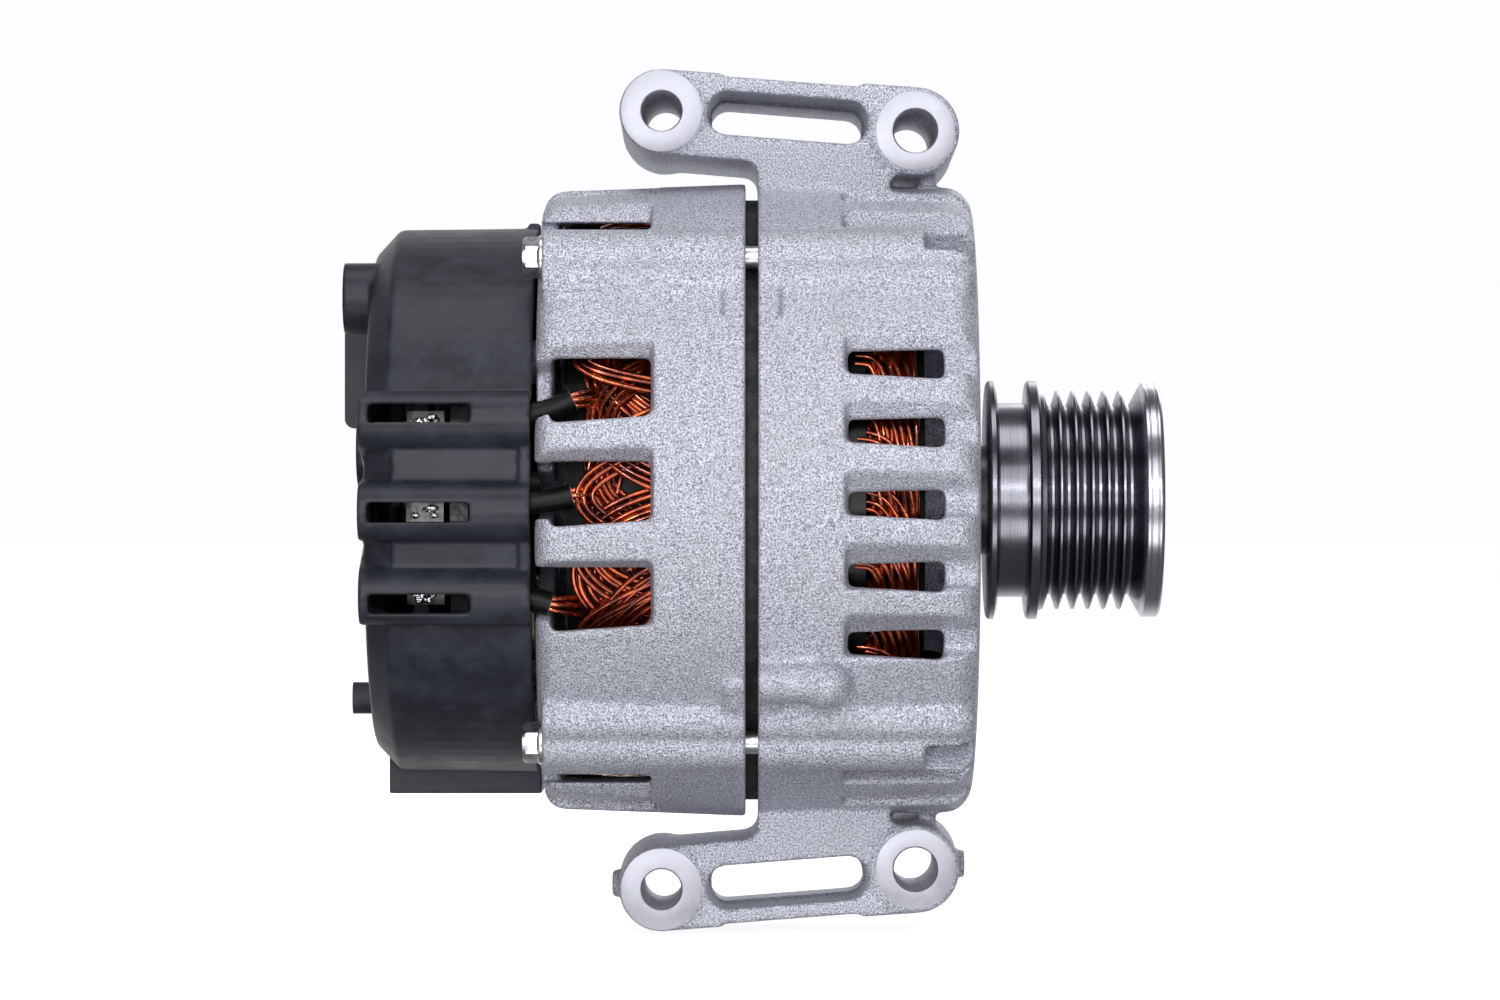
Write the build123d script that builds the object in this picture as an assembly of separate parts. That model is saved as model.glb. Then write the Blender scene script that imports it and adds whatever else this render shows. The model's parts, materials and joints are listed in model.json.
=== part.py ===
"""Car alternator with a claw-pole rotor, a six-groove belt pulley and four side-mounting lugs.

Frame, in millimetres: the origin is on the rotor axis, midway along the overall length.
+X runs along the shaft towards the pulley and +Z is up. The machined lug faces look along -Y.
Angles named *_DEG are measured about the rotor axis from -Y, positive towards +Z.
"""

from build123d import *
from math import atan2, cos, degrees, hypot, radians, sin
import os

# ---------------------------------------------------------------- driving dimensions
SLIP = 0.05                # radial clearance of a part that is only located
PRESS = 0.02               # radial gap left where the real parts are a press fit

# casing
REAR_SPLIT_X = -1.0        # split face of the slip-ring end housing
FRONT_SPLIT_X = 1.8        # split face of the drive end housing
FRONT_FACE_X = 50.4        # pulley-side face of the drive end housing
REAR_FACE_X = -47.0        # cover-side face of the slip-ring end housing
BODY_R = 72.3
PAD_R = 73.6               # pads beside the split faces, next to each bolt boss
PAD_W = 4.8
CAVITY_R = 66.3
SEAT_R = 68.65

# through bolts, M5 flange head
BOLT_CIRCLE_R = 71.6
BOLT_DEG = (48.5, 131.5, 228.5, 311.5)
BOLT_R = 2.5
BOLT_BOSS_R = 6.2
BOLT_SEAT_X = -45.8
BOLT_HEAD_FLATS = 8.0
SHOULDER_R = 5.5           # each boss runs out towards the belt line through a lower shoulder
SHOULDER_CIRCLE_R = 70.0
SHOULDER_DEG = 5.0

# side-mounting lugs: (x, z, bore radius, boss radius) of the upper pair; the lower pair is mirrored
REAR_LUG = (-20.0, 88.0, 4.5, 9.6)
FRONT_LUG = (37.4, 83.5, 4.9, 10.0)
LUG_FACE_Y = -18.5
LUG_PLATE_Y = -17.6
LUG_GROWTH = 0.8           # draft: the bosses are this much larger in radius at their far end
UPPER_LUG_LENGTH = 75.0
LOWER_LUG_LENGTH = 45.0
NECK_X = (1.8, 31.7)

# stator
STATOR_X = (-14.0, 15.2)
STATOR_R = 68.6
STATOR_BORE_R = 54.35
SLOT_COUNT = 48
SLOT_W = 3.2
SLOT_DEPTH = 9.0

# rotor
ROTOR_R = 54.0
CLAW_COUNT = 8
POLE_FACE_X = 21.0
POLE_BACK_X = 12.8
CLAW_TIP_X = -17.0
SHAFT_R = 8.5
CORE_R = 11.0

# ball bearings: (x from, x to, bore radius, outer radius, ball radius, ball count)
FRONT_BEARING = (35.5, 49.5, 8.5, 23.5, 4.36, 7)
REAR_BEARING = (-46.0, -36.0, 8.5, 17.5, 2.78, 9)

# pulley
PULLEY_X = (54.0, 93.4)
PULLEY_R = 25.0
GROOVE_PITCH = 3.56
GROOVE_COUNT = 6
FIRST_GROOVE_X = 68.45

# slip rings and brushes
RING_R = 8.2
RING_X = (-70.0, -61.0)    # pulley-side edges of the outer and the inner ring
RING_W = 6.0
BRUSH_SIZE = (4.6, 7.0, 17.0)
BRUSH_TRAVEL = 4.0

# rear cover and electrics
COVER_X = (-85.0, -48.0)
COVER_R = 62.2
COVER_WALL = 2.2
PHASE_DEG = (16.3, -2.3, -19.7)
STUD_YZ = (-20.0, 45.5)    # output stud
STUD_R = 4.0               # M8 thread
STUD_SHANK_R = 3.6
STUD_THREAD_X = (-91.2, -85.2)
COLLAR_END_X = -91.6
CONNECTOR_END_X = -93.4
COVER_NUT_YZ = ((-13.7, -44.9), (44.0, -20.0), (40.0, 30.0))


# ---------------------------------------------------------------- helpers
def turned(*points, radii=None):
    """Solid of revolution about the rotor axis from a closed (x, r) outline."""
    if radii:
        line = FilletPolyline(*points, radius=radii, close=True)
    else:
        line = Polyline(*points, close=True)
    return revolve(Plane.XZ * make_face(line), Axis.X)


def rod(x0, x1, radius, y=0.0, z=0.0):
    """Solid cylinder along X."""
    length = abs(x1 - x0)
    return Pos((x0 + x1) / 2, y, z) * Rot(Y=90) * Cylinder(radius, length)


def tube(x0, x1, inner, outer, y=0.0, z=0.0):
    """Hollow cylinder along X."""
    return rod(x0, x1, outer, y, z) - rod(x0 - 1, x1 + 1, inner, y, z)


def block(x0, x1, y0, y1, z0, z1):
    """Box between two corners."""
    centre = Pos((x0 + x1) / 2, (y0 + y1) / 2, (z0 + z1) / 2)
    return centre * Box(abs(x1 - x0), abs(y1 - y0), abs(z1 - z0))


def around(angle_deg, shape):
    """Turns a shape built at the top (+Z) to an angle measured from -Y towards +Z."""
    return Rot(X=90 - angle_deg) * shape


def at_angle(radius, angle_deg):
    """(y, z) of a point on a circle about the rotor axis."""
    return -radius * cos(radians(angle_deg)), radius * sin(radians(angle_deg))


def group(shapes):
    """Several separate solids as one node."""
    return Compound(children=[solid for shape in shapes for solid in shape.solids()])


def solid_of(shape):
    """The single solid of a shape, without stray faces."""
    solids = shape.solids()
    assert len(solids) == 1, f"{len(solids)} solids where one is expected"
    return solids[0]


def crescent(x0, x1, r_in, r_out, span):
    """Ring segment between two angles, both measured from -Y towards +Z."""
    start, stop = span
    steps = 24
    outer = [at_angle(r_out, start + (stop - start) * k / steps) for k in range(steps + 1)]
    inner = [at_angle(r_in, start + (stop - start) * k / steps) for k in range(steps, -1, -1)]
    face = make_face(Polyline(*outer, *inner, close=True))
    return extrude(Plane.YZ.offset(x0) * face, x1 - x0)


def tapered_cut(x_in, y_in, r_in, x_out, y_out, r_out):
    """Cutter at the top whose mouth (x_out, y_out) is wider than its floor (x_in, y_in)."""
    def rect(xs, ys, r):
        corners = [(xs[0], ys[0], r), (xs[1], ys[0], r), (xs[1], ys[1], r), (xs[0], ys[1], r)]
        return make_face(Polyline(*corners, close=True))
    return loft([rect(x_in, y_in, r_in), rect(x_out, y_out, r_out)])


def wedge_cut(x0, x1, inner, outer):
    """Radial slot cutter at the top from (half width, radius) inner to outer, along X."""
    (w0, r0), (w1, r1) = inner, outer
    face = make_face(Polyline((-w0, r0), (w0, r0), (w1, r1), (-w1, r1), close=True))
    return extrude(Plane.YZ.offset(x0) * face, x1 - x0)


# ---------------------------------------------------------------- what both housings share
def shoulder_angle(bolt_deg):
    """Angle of the low shoulder beside a bolt boss, on its belt-line side."""
    towards = -1 if sin(radians(bolt_deg)) * cos(radians(bolt_deg)) > 0 else 1
    return bolt_deg + towards * SHOULDER_DEG


def bolt_ribs():
    """(y, z, radius) of the cast ribs round the four bolts, each a boss with its low shoulder."""
    ribs = []
    for angle in BOLT_DEG:
        ribs.append((*at_angle(BOLT_CIRCLE_R, angle), BOLT_BOSS_R))
        ribs.append((*at_angle(SHOULDER_CIRCLE_R, shoulder_angle(angle)), SHOULDER_R))
    return ribs


def split_pads(x0, x1):
    """Low pads beside a split face, one next to each bolt boss."""
    pads = []
    for angle in BOLT_DEG:
        shoulder = shoulder_angle(angle)
        end = shoulder + 2 * (shoulder - angle)
        pads.append(crescent(x0, x1, 70.0, PAD_R, sorted((angle, end))))
    return pads


def straight_cut(x0, x1, low, high, z, side):
    """Opening cut along Y through one side wall; low and high are its (x0, x1) half heights about z."""
    outline = make_face(Polyline((x0, z - low[0]), (x1, z - low[1]), (x1, z + high[1]), (x0, z + high[0]),
                                 close=True))
    depths = (-80.0, -52.0) if side < 0 else (52.0, 80.0)
    return along_y(outline, *depths)


# ---------------------------------------------------------------- drive end housing
FRONT_WINDOW_DEG = [-0.8 + k * 13 for k in (-2, -1, 0, 1, 2)]
FRONT_SIDE_DEG = [a + side for side in (90, 270) for a in (-30, -18, -6, 6, 18, 30)]
FRONT_VENTS = [k * 12 for k in range(30) if k not in (4, 11, 19, 26)]
WINDOW_R = 70.0            # radius at which a window's angle gives its height


def front_louvre(lip):
    """Louvre: one steep wall and one sloping wall that is lip wide of the centre at its mouth."""
    return tapered_cut((21.3, 53), (-2.4, 2.6), 67.8, (20.2, 53), (-2.6, lip), 75.0)


def front_windows():
    """Cutters of all louvred windows; those at the two sides open straight along Y."""
    cutters = []
    for angle in FRONT_WINDOW_DEG:
        z = WINDOW_R * sin(radians(angle))
        lip = 12.0 - angle * 0.07
        cutters.append(around(angle, front_louvre(lip)))
        cutters.append(around(180 + angle, front_louvre(lip)))
        cutters.append(straight_cut(21.5, 42.3, (2.2, 3.4), (2.6, 3.1), z, -1))
        cutters.append(straight_cut(21.5, 42.3, (3.1, 2.6), (3.4, 2.2), -z, 1))
    for angle in FRONT_SIDE_DEG:
        cutters.append(around(angle, front_louvre(6.9) + block(21.5, 42.3, -2.4, 2.6, 58, 68.5)))
    return cutters


def lug_outline(sign):
    """Bar between two lugs with the neck that joins it to the casing, in the XZ plane."""
    (xa, za, _, ra), (xb, zb, _, rb) = REAR_LUG, FRONT_LUG
    length = hypot(xb - xa, zb - za)
    nx, nz = (za - zb) / length, (xb - xa) / length
    bar = make_face(Polyline((xa + nx * ra, za + nz * ra), (xb + nx * rb, zb + nz * rb),
                             (xb - nx * rb, zb - nz * rb), (xa - nx * ra, za - nz * ra), close=True))
    left, right = NECK_X
    neck = make_face(Polyline((left, 56), (right, 56), (right, 84), (left, 84), close=True))
    outline = bar + neck
    for corner, radius in (((left, 76.6), 3.5), ((right, 74.0), 2.5)):
        inner = [v for v in outline.vertices() if hypot(v.X - corner[0], v.Y - corner[1]) < 2.5]
        if inner:
            outline = fillet(inner, radius)
    tilt = degrees(atan2(zb - za, xb - xa))
    middle = Pos((xa + xb) / 2 + nx * (ra + rb) / 2, (za + zb) / 2 + nz * (ra + rb) / 2)
    outline -= middle * Rot(0, 0, tilt) * Rectangle(31.8, 1.4)
    slot = Pos(8.5, 86.6) * Rot(0, 0, tilt) * RectangleRounded(36.0, 9.8, 4.2)
    opening = Pos(8.5, 86.6) * Rot(0, 0, tilt) * RectangleRounded(34.6, 8.4, 3.5)
    faces = (outline - slot, slot - opening)
    return faces if sign > 0 else tuple(mirror(face, Plane.XZ) for face in faces)


def along_y(face, y0, y1):
    """Extrudes an (x, z) outline from y0 to y1."""
    return extrude(Plane.XZ.offset(-y0) * face, -(y1 - y0))


def lug_tube(lug, sign, far_y):
    """Tapered boss along Y with its bore, as (boss, bore)."""
    x, z, bore, radius = lug
    length = far_y - LUG_FACE_Y
    place = Pos(x, (LUG_FACE_Y + far_y) / 2, sign * z) * Rot(X=-90)
    boss = place * Cone(radius, radius + LUG_GROWTH, length)
    return boss, place * Cylinder(bore, length + 4)


def lug_bracket(sign, length):
    """Mounting bracket: two bosses, the slotted bar between them and the gussets of its neck."""
    far_y = LUG_FACE_Y + length
    outline, ridge = lug_outline(sign)
    whole = along_y(outline, LUG_PLATE_Y, far_y - 1.0)
    whole += along_y(ridge, LUG_PLATE_Y + length * 0.4, LUG_PLATE_Y + length * 0.4 + 2.0)
    pocket_z = sorted((sign * 50.0, sign * 75.4))
    pocket = block(9.5, 24.5, 10.0, far_y + 2, *pocket_z)
    whole -= pocket
    web_z = sorted((sign * 64.0, sign * 78.0))
    whole += block(38.5, 42.5, -4.0, min(far_y - 4, 40.0), *web_z)
    bores = []
    for lug in (REAR_LUG, FRONT_LUG):
        boss, bore = lug_tube(lug, sign, far_y)
        whole += boss
        bores.append(bore)
    if sign < 0:
        whole += rod(-31.6, -28.0, 3.2, 2.0, -REAR_LUG[1])
        whole += rod(45.0, 49.2, 3.2, 2.0, -FRONT_LUG[1])
    for bore in bores:
        whole -= bore
    return whole


LUMP_CIRCLE_R = 73.4       # cast lump low on the near side, at the split face
LUMP_DEG = -33.0
LUMP_R = 4.6


def front_housing():
    """Cast drive end housing with its air windows, vents, bearing hub and both lug brackets."""
    shell = turned((FRONT_SPLIT_X, SEAT_R), (FRONT_SPLIT_X, BODY_R), (FRONT_FACE_X, 71.4),
                   (FRONT_FACE_X, 31.0), (51.5, 30.0), (51.5, 18.0),
                   (49.55, 18.0), (49.55, FRONT_BEARING[3] + PRESS), (35.4, FRONT_BEARING[3] + PRESS),
                   (35.4, 30.5), (38.0, 34.3), (44.4, 34.7), (44.4, CAVITY_R), (15.25, CAVITY_R),
                   (15.25, SEAT_R), radii=[0, 0, 6.0, 0, 0, 0, 0, 0, 0, 0, 1.0, 2.0, 4.0, 0, 0])
    for cutter in front_windows():
        shell -= cutter
    for angle in FRONT_VENTS:
        shell -= around(angle, wedge_cut(43, 53, (1.9, 35.0), (4.3, 60.5)))
    within = rod(-60, 60, 69.8)
    for sign, length in ((1, UPPER_LUG_LENGTH), (-1, LOWER_LUG_LENGTH)):
        shell += lug_bracket(sign, length) - within
    for y, z, radius in bolt_ribs():
        rib = rod(FRONT_SPLIT_X, 45.0, radius, y, z) + Pos(45.0, y, z) * Sphere(radius)
        shell += rib - rod(FRONT_FACE_X - 0.6, 60, 90) - rod(0, 44.0, 69.4) - rod(0, 60, 66.0)
    for pad in split_pads(FRONT_SPLIT_X, FRONT_SPLIT_X + PAD_W):
        shell += pad
    for angle in BOLT_DEG:
        shell -= around(angle, tapered_cut((39.6, 53), (-2.4, 2.6), 67.9, (38.2, 57), (-3.6, 4.4), 79.0))
    y, z = at_angle(LUMP_CIRCLE_R, LUMP_DEG)
    shell += rod(FRONT_SPLIT_X, 16.6, LUMP_R, y, z) + Pos(16.6, y, z - 0.5) * Sphere(LUMP_R + 1.0) - within
    for angle in BOLT_DEG:
        y, z = at_angle(BOLT_CIRCLE_R, angle)
        shell -= rod(-2, 34.0, BOLT_R + PRESS, y, z)
    for y, z in retainer_screw_places():
        shell -= rod(30, 44.0, 1.6 + PRESS, y, z)
    for lug, sign, length in ((REAR_LUG, 1, UPPER_LUG_LENGTH), (FRONT_LUG, 1, UPPER_LUG_LENGTH),
                              (REAR_LUG, -1, LOWER_LUG_LENGTH), (FRONT_LUG, -1, LOWER_LUG_LENGTH)):
        shell -= lug_tube(lug, sign, LUG_FACE_Y + length)[1]
    return solid_of(shell)


# ---------------------------------------------------------------- slip-ring end housing
REAR_WINDOW_DEG = [1.0 + k * 19 for k in (-1, 0, 1)]
REAR_TOP_DEG = [a + side for side in (90, 270) for a in (-9, 9)]
REAR_SLIT_DEG = [a + side for side in (90, 270) for a in (-27, 27)]


def rear_window(rise, notch):
    """Wide louvred window that runs out through the cover-side corner and on into the end wall.
    rise is its height above its middle inside the wall, notch that of its opening in the end wall."""
    side = tapered_cut((-49, -21.9), (-5.2, rise), 66.0, (-49, -20.4), (-5.7, rise + 7.1), 75.0)
    return side + block(-49, -42.5, -6.1, notch, 52.0, 66.5) + block(-49, -21.9, -6.1, rise, 59.5, 66.5)


def rear_slit(y_sign, z_sign):
    """Narrow slit beside a bolt rib, cut along Y, with the pocket over it."""
    low = 60.1 if z_sign > 0 else 61.2
    section = [(80, low), (14, low), (14, low + 1.7), (28, low + 2.1), (24.5, 67.6), (80, 67.6)]
    face = make_face(Polyline(*[(y_sign * y, z_sign * z) for y, z in section], close=True))
    pocket = extrude(Plane.YZ.offset(-50.0) * face, 28.0)
    depths = sorted((y_sign * 14.0, y_sign * 24.0))
    heights = sorted((z_sign * 50.0, z_sign * 64.0))
    return pocket - block(-50.0, -42.5, *depths, *heights)


def rear_housing():
    """Cast slip-ring end housing with windows, vents and the rear bearing hub."""
    hub_r = REAR_BEARING[3] + 1.5
    shell = turned((REAR_SPLIT_X, SEAT_R), (REAR_SPLIT_X, BODY_R), (REAR_FACE_X, 70.6),
                   (REAR_FACE_X, 14.0), (-46.05, 14.0), (-46.05, hub_r),
                   (-34.5, hub_r), (-34.5, 24.5), (-43.0, 26.0), (-43.0, CAVITY_R),
                   (-14.05, CAVITY_R), (-14.05, SEAT_R),
                   radii=[0, 0, 5.0, 0, 0, 0, 0, 0, 2.5, 4.0, 0, 0])
    for angle in REAR_WINDOW_DEG:
        z = WINDOW_R * sin(radians(angle))
        window = rear_window(6.7 + angle * 0.07, 0.6 if angle > 10 else 7.0)
        shell -= around(angle, window)
        shell -= around(180 + angle, window)
        shell -= straight_cut(-43.5, -22.0, (7.1, 5.6), (6.8, 6.8), z, -1)
        shell -= straight_cut(-43.5, -22.0, (6.8, 6.8), (7.1, 5.6), -z, 1)
    for angle in REAR_TOP_DEG:
        shell -= around(angle, rear_window(6.5, 6.0))
    for y_sign in (-1, 1):
        for z_sign in (-1, 1):
            shell -= rear_slit(y_sign, z_sign)
    for angle in REAR_WINDOW_DEG + [a + 180 for a in REAR_WINDOW_DEG] + REAR_TOP_DEG + REAR_SLIT_DEG:
        shell -= around(angle, wedge_cut(-49, -40, (2.6, 29.5), (5.6, 55.0)))
    for y, z, radius in bolt_ribs():
        shell += rod(BOLT_SEAT_X, REAR_SPLIT_X, radius, y, z) - rod(-44.0, 0, 69.4)
    for pad in split_pads(REAR_SPLIT_X - PAD_W, REAR_SPLIT_X):
        shell += pad
    for y, z in STANDOFF_YZ:
        shell += rod(-49.9, -42.0, 4.5, y, z)
        shell -= rod(-51, -41.0, 2.0 + PRESS, y, z)
    for y, z in COVER_NUT_YZ:
        shell += rod(-47.8, -42.0, 5.0, y, z)
        shell -= rod(-51, -41.0, 2.5 + PRESS, y, z)
    for angle in BOLT_DEG:
        y, z = at_angle(BOLT_CIRCLE_R, angle)
        shell -= rod(-50, 2, BOLT_R + 0.15, y, z)
        shell -= rod(-60, BOLT_SEAT_X, 5.3, y, z)
    return solid_of(shell)


# ---------------------------------------------------------------- stator
def stator_core():
    """Laminated ring with open slots on its bore."""
    core = tube(*STATOR_X, STATOR_BORE_R, STATOR_R)
    slot = block(STATOR_X[0] - 1, STATOR_X[1] + 1, -SLOT_W / 2, SLOT_W / 2,
                 STATOR_BORE_R - 1, STATOR_BORE_R + SLOT_DEPTH)
    for k in range(SLOT_COUNT):
        core -= around(k * 360 / SLOT_COUNT, slot)
    return core


def winding_slot_bars():
    """Copper that fills the stator slots, one solid for each slot."""
    bar = block(STATOR_X[0], STATOR_X[1], -SLOT_W / 2 + 0.3, SLOT_W / 2 - 0.3,
                STATOR_BORE_R + 1.2, STATOR_BORE_R + SLOT_DEPTH - 0.3)
    return group([around(k * 360 / SLOT_COUNT, bar) for k in range(SLOT_COUNT)])


def end_winding(x_root, x_tip):
    """Closed ring of the outer shape of one end's coil heads."""
    sides = sorted((x_root, x_tip))
    return turned((sides[0], 56.0), (sides[0], 64.9), (sides[1], 64.9), (sides[1], 56.0),
                  radii=[0.5, 3.5, 0.5, 3.5] if x_root > x_tip else [3.5, 0.5, 3.5, 0.5])


SLEEVE_R = 2.6
LEAD_R = 1.8
SLEEVE_CIRCLE_R = 62.6


def phase_leads(radius, x0, x1):
    """The three straight phase leads, from the coil heads to the rectifier terminals."""
    made = []
    for angle, shift in zip(PHASE_DEG, (0.8, 1.7, 0.0)):
        y, z = at_angle(SLEEVE_CIRCLE_R, angle + shift)
        made.append(rod(x0, x1, radius, y, z))
    return made


def phase_lead_sleeves():
    """Black insulating sleeves over the phase leads."""
    cores = phase_leads(LEAD_R + SLIP, -75, -30)
    return group([s - c for s, c in zip(phase_leads(SLEEVE_R, -60.0, -41.0), cores)])


# ---------------------------------------------------------------- rotor
def rotor_shaft():
    """Stepped steel shaft with a turning centre in its pulley end."""
    return turned((-80.0, 0), (-80.0, 5.0), (-79.5, 5.5), (-57.0, 5.5), (-57.0, 6.5), (-47.5, 6.5),
                  (-47.0, SHAFT_R),
                  (-35.9, SHAFT_R), (-35.9, 10.0), (-30.0, 10.0), (-30.0, CORE_R), (30.0, CORE_R),
                  (30.0, 12.0), (35.4, 12.0), (35.4, SHAFT_R), (90.8, SHAFT_R), (91.8, 7.5),
                  (91.8, 2.2), (89.6, 0))


def claw_section(x, half_width, r_in, r_out):
    """Rectangular section of a claw at the top."""
    corners = [(-half_width, r_in), (half_width, r_in), (half_width, r_out), (-half_width, r_out)]
    return Plane.YZ.offset(x) * make_face(Polyline(*corners, close=True))


def claw_pole(direction):
    """Disc with tapering claws that reach along the rotor. direction +1 is the pulley-side one."""
    pole = tube(POLE_BACK_X, POLE_FACE_X, CORE_R + PRESS, 49.0)
    claw = loft([claw_section(POLE_FACE_X, 9.5, 47.0, 53.1), claw_section(POLE_BACK_X, 8.8, 47.0, 53.2)])
    claw += loft([claw_section(POLE_BACK_X, 8.8, 48.2, 53.2), claw_section(CLAW_TIP_X, 4.2, 51.2, 53.6)])
    for k in range(CLAW_COUNT):
        pole += Rot(X=k * 360 / CLAW_COUNT) * claw
    notch = rod(12, 22, 6.0, 0, 50.5)
    for k in range(CLAW_COUNT):
        pole -= Rot(X=(k + 0.5) * 360 / CLAW_COUNT) * notch
    pole &= rod(-30, 30, ROTOR_R)
    if direction < 0:
        pole = Rot(X=180 / CLAW_COUNT) * mirror(pole, Plane.YZ)
    return pole


def field_bobbin():
    """Plastic bobbin of the field coil."""
    return turned((-12.6, 30.2), (-12.6, 47.0), (-11.4, 47.0), (-11.4, 31.4), (11.4, 31.4),
                  (11.4, 47.0), (12.6, 47.0), (12.6, 30.2))


def fan(x_disc, x_tip, blades, lean_deg):
    """Stamped fan: a plate welded to the pole face with bent-up blades."""
    out = 1 if x_tip > x_disc else -1
    plate = tube(x_disc, x_disc + out * 1.4, 16.0, 33.0)
    blade_foot = x_disc + out * 0.2
    for k in range(blades):
        angle = k * 360 / blades
        arm = block(x_disc, x_disc + out * 1.4, -5.5, 5.5, 30, 49.5)
        blade = Pos(0, 0, 41) * Rot(X=lean_deg) * block(blade_foot, x_tip, -0.7, 0.7, -9.5, 9.5)
        plate += Rot(X=angle) * (arm + blade)
    return plate & tube(-60, 60, 16.0, 51.5)


def pulley():
    """Steel pulley with a spool-shaped hub, six V grooves and a recess for the nut."""
    outline = [(PULLEY_X[0], SHAFT_R + PRESS), (PULLEY_X[0], 26.7), (54.5, 27.3), (55.6, 27.3),
               (56.2, 25.4), (56.5, 22.2), (62.8, 22.2), (63.0, 26.7), (63.5, 27.3), (65.4, 27.3), (65.9, 25.3)]
    for k in range(GROOVE_COUNT):
        x = FIRST_GROOVE_X + k * GROOVE_PITCH
        outline += [(x - 1.5, PULLEY_R), (x - 0.35, 21.6), (x + 0.35, 21.6), (x + 1.5, PULLEY_R)]
    outline[-1] = (88.7, 25.4)
    outline += [(89.2, 26.3), (89.6, 26.8), (92.8, 26.8), (PULLEY_X[1], 26.2), (PULLEY_X[1], 15.2),
                (80.0, 15.0), (80.0, SHAFT_R + PRESS)]
    return turned(*outline)


def pulley_nut():
    """Hexagon nut with a flange, seated in the pulley's recess."""
    body = extrude(Plane.YZ.offset(82.0) * RegularPolygon(12.0, 6, major_radius=False), 8.5)
    return body + rod(80.05, 82.0, 13.6) - rod(70, 95, SHAFT_R + PRESS)


def slip_ring_carrier():
    """Moulded sleeve with the two ring seats."""
    seat = RING_R - 1.2
    points = [(-78.0, 5.52), (-78.0, 8.9)]
    for x in RING_X:
        points += [(x - RING_W - 0.02, 8.9), (x - RING_W - 0.02, seat), (x + 0.02, seat), (x + 0.02, 8.9)]
    points += [(-57.2, 8.9), (-57.2, 5.52)]
    return turned(*points)


# ---------------------------------------------------------------- bearings
def bearing(x0, x1, bore, outer, ball_r, ball_count):
    """Deep-groove ball bearing as (outer race, inner race, balls, cage, seals)."""
    pitch_r = (bore + outer) / 2
    mid = (x0 + x1) / 2
    track = ball_r + 0.06
    race = ball_r * 0.62
    torus = Pos(mid, 0, 0) * Rot(Y=90) * Torus(pitch_r, track)
    outer_race = tube(x0, x1, pitch_r + race, outer) - torus
    inner_race = tube(x0, x1, bore + PRESS, pitch_r - race) - torus
    balls = []
    cage = tube(mid - ball_r * 0.55, mid + ball_r + 0.85, pitch_r - race * 0.45, pitch_r + race * 0.45)
    for k in range(ball_count):
        y, z = at_angle(pitch_r, k * 360 / ball_count)
        balls.append(Pos(mid, y, z) * Sphere(ball_r))
        cage -= Pos(mid, y, z) * Sphere(ball_r + 0.12)
    seals = []
    for x in (x0 + 0.25, x1 - 1.05):
        seals.append(tube(x, x + 0.8, pitch_r - race + 0.25, pitch_r + race - SLIP))
    return outer_race, inner_race, group(balls), solid_of(cage), group(seals)


RETAINER_X = (33.2, 35.35)


def retainer_screw_places():
    """(y, z) of the four bearing retainer screws."""
    return [at_angle(27.2, 45 + 90 * k) for k in range(4)]


def bearing_retainer():
    """Plate that holds the front bearing in its hub."""
    plate = tube(*RETAINER_X, 19.5, 30.2)
    for y, z in retainer_screw_places():
        plate -= rod(30, 40, 1.6 + SLIP, y, z)
    return plate


def retainer_screws():
    """Countersunk-style screws of the retainer plate."""
    made = []
    for y, z in retainer_screw_places():
        made.append(rod(31.6, RETAINER_X[0], 2.9, y, z) + rod(RETAINER_X[0] - 0.5, 42.0, 1.6, y, z))
    return group(made)


def through_bolts():
    """Four M5 flange-head bolts that clamp the stator between the housings."""
    made = []
    for angle in BOLT_DEG:
        y, z = at_angle(BOLT_CIRCLE_R, angle)
        hexagon = Pos(y, z) * RegularPolygon(BOLT_HEAD_FLATS / 2, 6, major_radius=False)
        head = extrude(Plane.YZ.offset(BOLT_SEAT_X - 4.4) * hexagon, 3.4)
        flange = rod(BOLT_SEAT_X - 1.1, BOLT_SEAT_X, 4.9, y, z)
        made.append(head + flange + rod(BOLT_SEAT_X - 0.5, 32.0, BOLT_R, y, z))
    return group(made)


# ---------------------------------------------------------------- rectifier
STANDOFF_YZ = [at_angle(52.0, a) for a in (-62.0, 36.0, 222.0)]
NEG_PLATE_X = (-53.0, -50.0)
POS_PLATE_X = (-66.0, -62.0)
NEG_DIODE_YZ = [at_angle(r, a) for r, a in ((43.0, -40.0), (43.0, -88.0), (43.0, 232.0))]
POS_DIODE_YZ = [at_angle(r, a) for r, a in ((38.0, -15.0), (40.0, -55.0), (41.0, 249.0))]
DIODE_R = 6.4
PLATE_SPAN_DEG = (-145.0, 42.0)


def heat_sink(xs, r_in, r_out, diodes, others, tongue=None):
    """Crescent plate with a press-fit hole for each diode and clearance for whatever passes it."""
    plate = crescent(*xs, r_in, r_out, PLATE_SPAN_DEG)
    if tongue:
        plate += crescent(*xs, 41.0, r_out, tongue)
    for y, z in diodes:
        plate -= rod(xs[0] - 1, xs[1] + 1, DIODE_R + PRESS, y, z)
    for (y, z), radius in others:
        plate -= rod(xs[0] - 1, xs[1] + 1, radius, y, z)
    return plate


def diode(x_back, x_front, y, z):
    """Press-fit can diode with its lead."""
    lead = rod(-70.3, x_back, 0.8, y, z)
    return rod(x_back, x_front, DIODE_R, y, z) + rod(x_back - 2.2, x_back + 1, 3.4, y, z) + lead


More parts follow.
